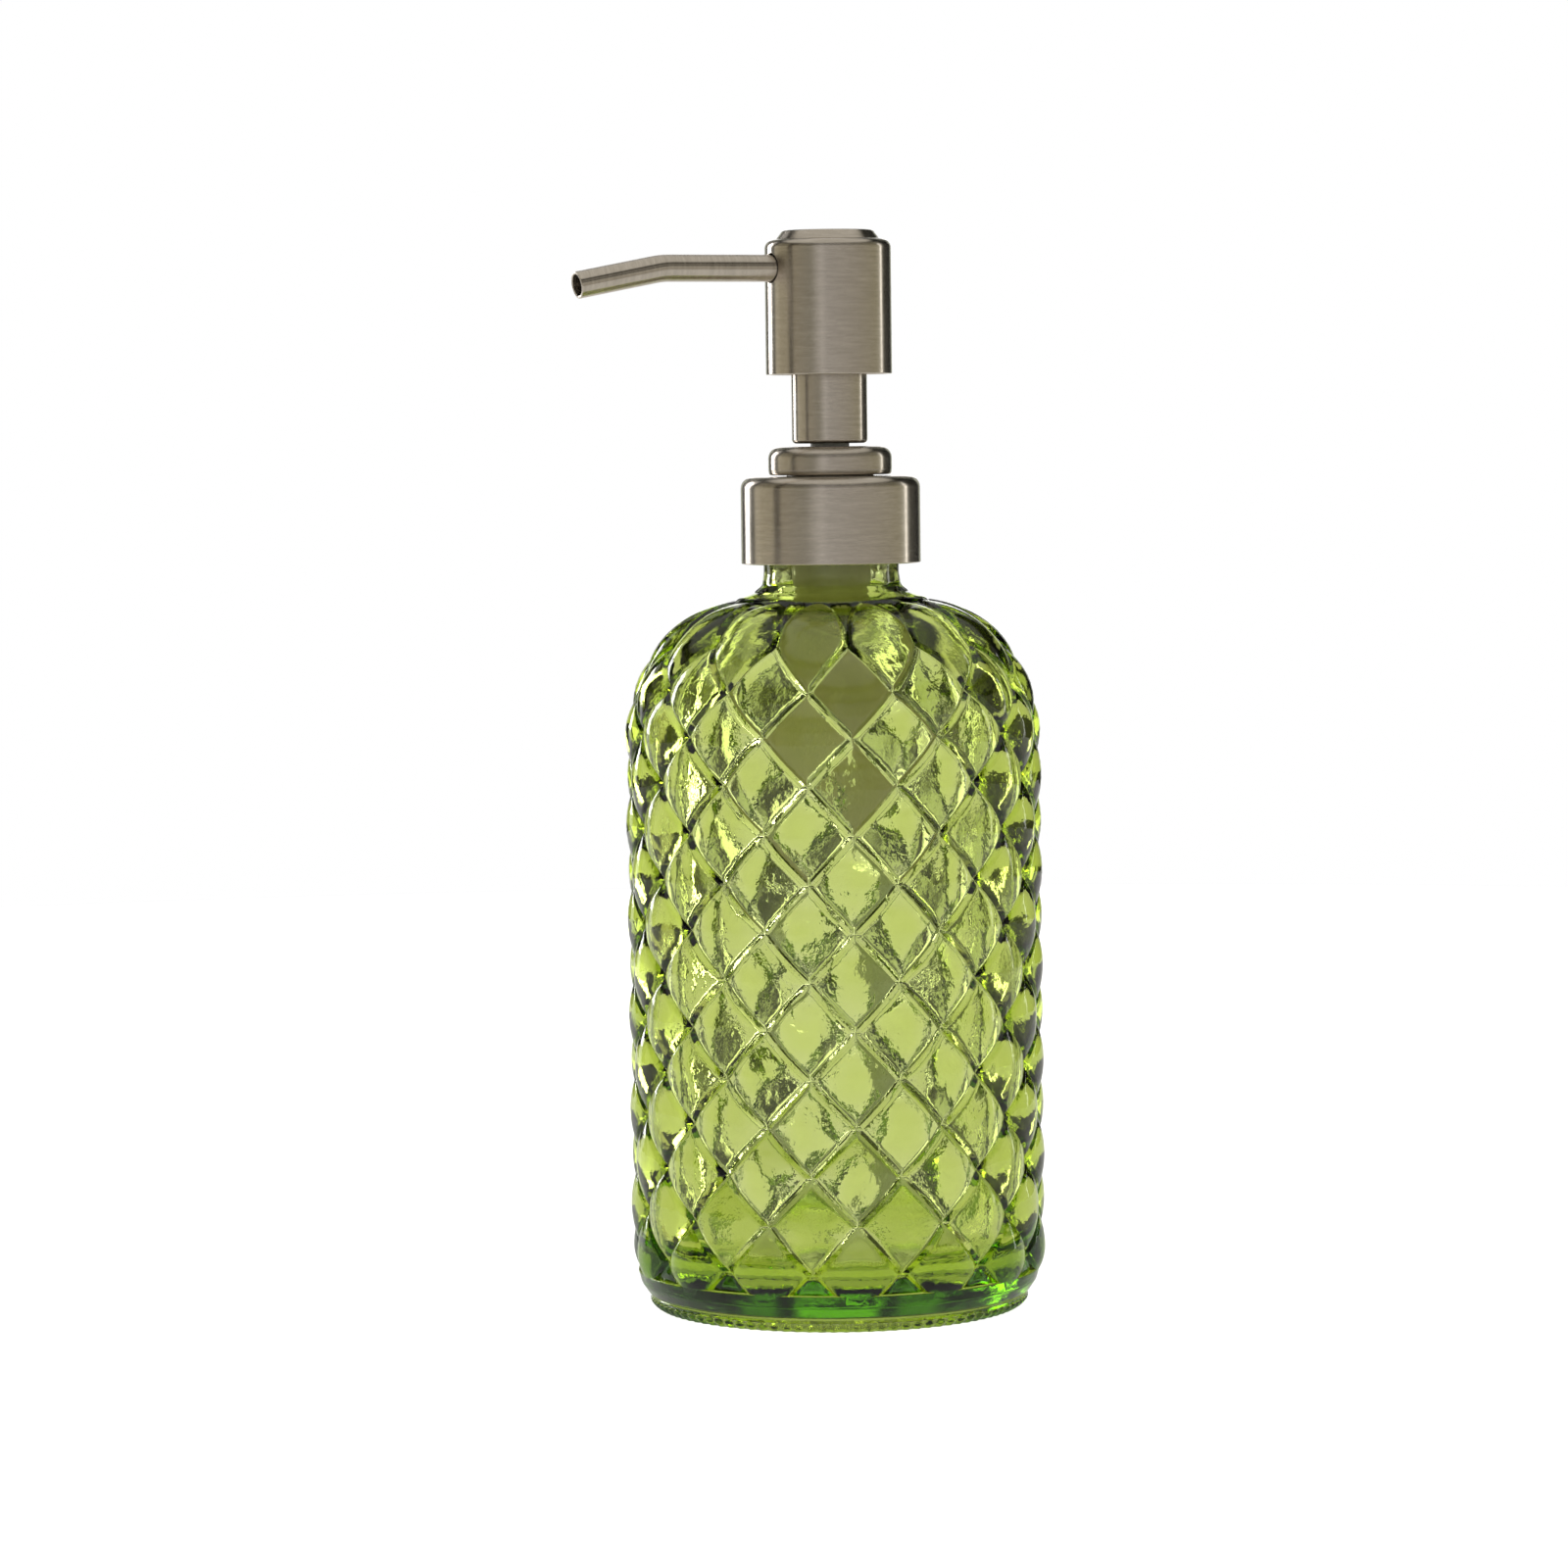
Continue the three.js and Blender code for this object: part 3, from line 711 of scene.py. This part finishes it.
def buildSleeve():
    low, high = levels("stem_sleeve")
    radius = reach("stem_sleeve")
    metalShell("sleeve_cladding", [
        (radius - 0.9, low, 0.1), (radius, low, 0.75), (radius, high, 0.15), (radius - 0.4, high, 0.1),
        (radius - 0.4, low + 0.9, 0.3), (radius - 0.9, low + 0.4, 0.1),
    ], "plunger", "stem_sleeve")


head = {"skin": 0.7, "ledge": 198.05, "shoulder": 9.55, "disc": 8.35, "hole": 2.8, "spoutZ": 193.0}


def buildHead():
    low, high = levels("head_shell")
    radius = reach("head_shell")
    skin = head["skin"]
    piece = turned("head_cladding", [
        (radius - skin, low, 0.15), (radius, low, 0.25), (radius, head["ledge"], 1.55),
        (head["shoulder"], head["ledge"] + 0.35, 0.25), (head["disc"], high, 0.75), (0, high),
        (0, high - 1.5), (8.6, high - 1.6), (radius - skin, head["ledge"] - 1.6, 0.4),
    ])
    drill = turned("drill", [(0, 7), (head["hole"], 7), (head["hole"], 14), (0, 14)], segments=64)
    drill.data.transform(Matrix.Rotation(-math.pi / 2, 4, "Y"))
    drill.data.transform(Matrix.Translation((0, 0, head["spoutZ"] * mm)))
    cut(piece, drill, "DIFFERENCE")
    settle(piece, drill)
    crisp(piece)
    finishPiece(piece, "plunger", "brushed_nickel", nickel, "head_shell")


spout = {"radius": 2.5, "bore": 1.95, "inner": -5.0, "bend": -33.5, "drop": 10.5, "bendRadius": 16.0}


def spoutLine():
    # centre points and directions along the spout, straight out and then bent down
    z = head["spoutZ"]
    drop = math.radians(spout["drop"])
    run = spout["bendRadius"] * math.tan(drop / 2)
    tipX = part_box("spout_tube")[0].x / mm + spout["radius"] * math.sin(drop)
    steps = 12
    line = [((x, z), 0.0) for x in np.linspace(spout["inner"], spout["bend"] + run, steps)]
    for k in range(1, steps + 1):
        angle = drop * k / steps
        x = spout["bend"] + run - spout["bendRadius"] * math.sin(angle)
        line.append(((x, z - spout["bendRadius"] * (1 - math.cos(angle))), angle))
    (x, h), angle = line[-1]
    for share in np.linspace(0.2, 1, 6):
        reachX = x + (tipX - x) * share
        line.append(((reachX, h - (x - reachX) * math.tan(drop)), angle))
    return line


def buildSpout():
    line = spoutLine()
    sides = 48
    outer, bore, lip = spout["radius"], spout["bore"], 0.12
    rings = []  # (centre, direction, radius) of each ring, out along the skin and back inside

    def at(index, along=0.0):
        (x, z), angle = line[index]
        return (x - along * math.cos(angle), z - along * math.sin(angle)), angle
    for i in range(len(line)):
        rings.append((*at(i, -lip if i == len(line) - 1 else 0), outer))
    rings.append((*at(-1, -lip * 0.3), outer - lip * 0.3))
    rings.append((*at(-1), outer - lip))
    rings.append((*at(-1), bore + lip))
    rings.append((*at(-1, -lip * 0.3), bore + lip * 0.3))
    for i in range(len(line) - 1, -1, -1):
        rings.append((*at(i, -lip if i == len(line) - 1 else 0), bore))
    points, faces = [], []
    for (x, z), angle, radius in rings:
        for k in range(sides):
            turn = 2 * math.pi * k / sides
            side, lift = radius * math.cos(turn), radius * math.sin(turn)
            points.append((x - lift * math.sin(angle), side, z + lift * math.cos(angle)))
    count = len(rings)
    for i in range(count):
        for k in range(sides):
            n = (k + 1) % sides
            a, b = i * sides, ((i + 1) % count) * sides
            faces.append((a + k, a + n, b + n, b + k))
    piece = makePiece("spout_pipe", points, faces)
    crisp(piece)
    finishPiece(piece, "plunger", "brushed_nickel", nickelSpout, "spout_tube")


buildCollar()
buildBoss()
buildSleeve()
buildHead()
buildSpout()
print("metal cladding built")


def buildHousing():
    low, high = levels("housing")
    barrel, bore, mouth = 7.3, 6.3, 7.3
    cup, flange = 8.05, 12.9
    flangeLow, flangeHigh = 151.4, 152.6
    piece = turned("pump_housing", [
        (mouth, high, 0.1), (mouth, 143.5), (bore, 143.5), (bore, 104.3), (3.4, 104.3), (3.4, 100.2),
        (1.6, 97.2), (1.6, 96.5), (3.3, 96.5), (3.3, low, 0.1), (4.4, low, 0.3), (4.4, 96.2, 0.2),
        (4.6, 97.2, 0.2), (4.6, 101.3, 0.4), (barrel, 102.8, 0.6), (barrel, 141.5, 0.5), (cup, 142.5, 0.3),
        (cup, flangeLow, 0.2), (flange, flangeLow, 0.3), (flange, flangeHigh, 0.3), (cup, flangeHigh, 0.2),
        (cup, high, 0.2),
    ], segments=96, steps=3)
    crisp(piece)
    finishPiece(piece, "pump_body", "housing_plastic", housingPlastic, "housing")


def buildDipTube():
    low, high = levels("dip_tube")
    bore, outer = 2.2, 3.0
    piece = turned("dip_pipe", [
        (bore, low, 0.1), (outer, low, 0.2), (outer, high, 0.2), (bore, high, 0.1),
    ], segments=64, steps=3)
    crisp(piece)
    finishPiece(piece, "pump_body", "tube_plastic", tubePlastic, "dip_tube")


def buildSpring():
    # a round-wire coil with closed ends
    low, high = levels("return_spring")
    coil = {"radius": 4.6, "wire": 0.45, "turns": 8, "sides": 10, "perTurn": 40}
    dead = 1 / coil["turns"]
    start, end = low + coil["wire"], high - coil["wire"]
    lift = 2 * coil["wire"] + 0.1
    count = coil["turns"] * coil["perTurn"]
    points, faces = [], []
    for i in range(count + 1):
        t = i / count
        z = np.interp(t, [0, dead, 1 - dead, 1], [start, start + lift, end - lift, end])
        angle = 2 * math.pi * coil["turns"] * t
        for k in range(coil["sides"]):
            turn = 2 * math.pi * k / coil["sides"]
            r = coil["radius"] + coil["wire"] * math.cos(turn)
            points.append((r * math.cos(angle), r * math.sin(angle), z + coil["wire"] * math.sin(turn)))
        if i:
            a, b = (i - 1) * coil["sides"], i * coil["sides"]
            for k in range(coil["sides"]):
                n = (k + 1) % coil["sides"]
                faces.append((a + k, b + k, b + n, a + n))
    faces.append(tuple(range(coil["sides"])))
    faces.append(tuple(count * coil["sides"] + k for k in range(coil["sides"] - 1, -1, -1)))
    piece = makePiece("coil_spring", points, faces)
    finishPiece(piece, "pump_body", "bright_steel", steel, "return_spring")
    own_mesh(piece)


buildHousing()
buildDipTube()
buildSpring()

carried = {
    "white_plastic": (whitePlastic, ["collar_insert", "chaplet", "ball_cage", "stem_guide_bush", "piston",
                                     "piston_seat", "stem", "head_core"]),
    "bright_steel": (steel, ["inlet_ball"]),
    "black_rubber": (rubber, ["neck_gasket", "stem_seal", "spout_seal"]),
}
softEdge = {"width": 0.15, "segments": 2, "angle": 40}
for slotName, (material, names) in carried.items():
    for name in names:
        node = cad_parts[name]
        node.data.materials.clear()
        node.data.materials.append(material)
        soften = node.modifiers.new("soft edges", "BEVEL")
        soften.width = softEdge["width"] * mm
        soften.segments = softEdge["segments"]
        soften.limit_method = "ANGLE"
        soften.angle_limit = math.radians(softEdge["angle"])
print("inner pieces finished")


def buildFloor():
    # a round sheet of white acrylic that glows a little, and plain white where the camera sees it
    sheet = {"radius": 0.9, "thick": 4, "glow": 0.3}
    rim = sheet["radius"] / mm
    floor = turned("floor_sheet", [
        (0, -sheet["thick"]), (rim, -sheet["thick"], 1.5), (rim, 0, 1.5), (0, 0),
    ])
    material, tree, shader, place = newMaterial("white acrylic", Roughness=0.6, Emission_Color=(1, 1, 1, 1))
    rays = tree.nodes.new("ShaderNodeLightPath")
    glow = mathNode(tree, "MAXIMUM", rays.outputs["Is Camera Ray"], sheet["glow"])
    tree.links.new(glow, shader.inputs["Emission Strength"])
    tone = placeGroup(tree, softPatches, place.outputs["Object"], Scale=3.0)
    colour = mixColours(tree, tone.outputs["Patches"], (0.80, 0.80, 0.79), (0.83, 0.83, 0.82))
    tree.links.new(colour, shader.inputs["Base Color"])
    floor.data.materials.append(material)


def fillRamp(node, marks):
    stops = node.color_ramp.elements
    while len(stops) > 1:
        stops.remove(stops[0])
    for i, (at, colour) in enumerate(marks):
        stop = stops[0] if i == 0 else stops.new(at)
        stop.position = at
        stop.color = (*colour, 1)


def softbox(name, direction, elevation, distance, width, height, power):
    # direction is measured round from the camera, in degrees, to the right
    light = bpy.data.lights.new(name, "AREA")
    light.shape = "RECTANGLE"
    light.size, light.size_y = width, height
    light.energy = power
    lamp = bpy.data.objects.new(name, light)
    bpy.context.scene.collection.objects.link(lamp)
    polar = math.radians(-90 + view["azimuth"] + direction)
    lift = math.radians(elevation)
    away = Vector((math.cos(polar) * math.cos(lift), math.sin(polar) * math.cos(lift), math.sin(lift)))
    middle = Vector((0, 0, 0.1))
    lamp.location = middle + away * distance
    lamp.rotation_euler = away.to_track_quat("Z", "Y").to_euler()


view = {
    "azimuth": -25.0, "distance": 1.0, "height": 0.165,
    "pitch": 3.862, "yaw": 0.53, "roll": -0.686, "lens": 123.6,
}


def buildCamera():
    data = bpy.data.cameras.new("camera")
    data.sensor_width = 36
    data.lens = view["lens"]
    data.clip_start, data.clip_end = 0.05, 20
    camera = bpy.data.objects.new("camera", data)
    bpy.context.scene.collection.objects.link(camera)
    around = math.radians(view["azimuth"])
    place = Matrix.Translation((
        math.sin(around) * view["distance"], -math.cos(around) * view["distance"], view["height"],
    ))
    aim = (
        Matrix.Rotation(around + math.radians(view["yaw"]), 4, "Z")
        @ Matrix.Rotation(math.radians(90 - view["pitch"]), 4, "X")
        @ Matrix.Rotation(math.radians(view["roll"]), 4, "Z")
    )
    camera.matrix_world = place @ aim
    bpy.context.scene.camera = camera


def buildStudio():
    # a lit backdrop and soft panels all round, with dark gaps between them
    world = bpy.data.worlds.new("studio")
    bpy.context.scene.world = world
    world.use_nodes = True
    tree = world.node_tree
    place = tree.nodes.new("ShaderNodeTexCoord")
    split = tree.nodes.new("ShaderNodeSeparateXYZ")
    tree.links.new(place.outputs["Generated"], split.inputs[0])
    polar = mathNode(tree, "ARCTAN2", split.outputs["Y"], split.outputs["X"])
    turn = mathNode(tree, "ADD", polar, math.radians(90 - view["azimuth"] + 180))
    share = mathNode(tree, "FRACT", mathNode(tree, "DIVIDE", turn, 2 * math.pi))
    panels = [  # degrees to the right from the camera's side, and the light from there
        (-180, (1.7, 1.7, 1.7)), (-174, (1.7, 1.7, 1.7)), (-172, (0.03, 0.03, 0.03)),
        (-169, (0.04, 0.04, 0.03)), (-167, (0.62, 0.65, 0.55)), (-160, (0.62, 0.65, 0.55)),
        (-157, (0.02, 0.02, 0.02)), (-143, (0.02, 0.02, 0.02)), (-140, (1.3, 1.3, 1.3)),
        (-130, (1.3, 1.3, 1.3)), (-127, (0.05, 0.05, 0.04)), (-117, (0.05, 0.05, 0.04)),
        (-113, (0.60, 0.57, 0.46)), (-98, (0.46, 0.43, 0.32)), (-80, (0.42, 0.39, 0.29)),
        (-76, (0.08, 0.07, 0.05)), (-70, (0.08, 0.07, 0.05)), (-66, (0.36, 0.33, 0.25)),
        (-32, (0.29, 0.28, 0.23)), (-12, (0.64, 0.63, 0.62)), (-3, (0.50, 0.49, 0.48)),
        (50, (0.42, 0.40, 0.35)), (98, (0.37, 0.35, 0.25)), (115, (0.50, 0.50, 0.42)),
        (121, (0.05, 0.05, 0.04)), (157, (0.02, 0.02, 0.02)), (160, (0.58, 0.61, 0.51)),
        (166, (0.58, 0.61, 0.51)), (168, (0.04, 0.04, 0.03)), (171, (0.04, 0.04, 0.03)),
        (173, (1.7, 1.7, 1.7)),
    ]
    ramp = tree.nodes.new("ShaderNodeValToRGB")
    fillRamp(ramp, [(0.5 + degrees / 360, colour) for degrees, colour in panels])
    tree.links.new(share, ramp.inputs["Fac"])
    lift = mathNode(tree, "ARCSINE", split.outputs["Z"])
    height = mathNode(tree, "ADD", mathNode(tree, "DIVIDE", lift, math.pi), 0.5)
    over = tree.nodes.new("ShaderNodeValToRGB")  # how much of the panels shows at each height
    bands = [
        (-90, 0.0), (-17, 0.0), (-14, 1.0), (15, 1.0), (17, 0.08), (20, 0.08), (22, 0.6),
        (32, 0.6), (36, 0.1), (41, 0.1), (45, 0.6), (90, 0.6),
    ]
    fillRamp(over, [(0.5 + degrees / 180, (value,) * 3) for degrees, value in bands])
    tree.links.new(height, over.inputs["Fac"])
    ceilingStart, ceilingFull = 42, 50  # degrees above the horizon
    ceiling = tree.nodes.new("ShaderNodeMapRange")
    ceiling.inputs["From Min"].default_value = 0.5 + ceilingStart / 180
    ceiling.inputs["From Max"].default_value = 0.5 + ceilingFull / 180
    tree.links.new(height, ceiling.inputs["Value"])
    shaded = tree.nodes.new("ShaderNodeVectorMath")
    shaded.operation = "MULTIPLY"
    tree.links.new(ramp.outputs["Color"], shaded.inputs[0])
    tree.links.new(over.outputs["Color"], shaded.inputs[1])
    room = mixColours(tree, ceiling.outputs["Result"], shaded.outputs[0], (0.66, 0.65, 0.61))
    rays = tree.nodes.new("ShaderNodeLightPath")  # the camera sees plain white behind the object
    seen = mixColours(tree, rays.outputs["Is Camera Ray"], room, (1.0, 1.0, 1.0))
    light = tree.nodes["Background"]
    tree.links.new(seen, light.inputs["Color"])
    softbox("left_window", -135, 14, 1.3, 0.26, 0.6, 3.0)
    softbox("right_strip", 113, 10, 1.3, 0.07, 0.8, 0.5)


buildFloor()
buildCamera()
buildStudio()
bpy.context.scene.view_settings.view_transform = "Standard"
print("floor, light and camera placed")
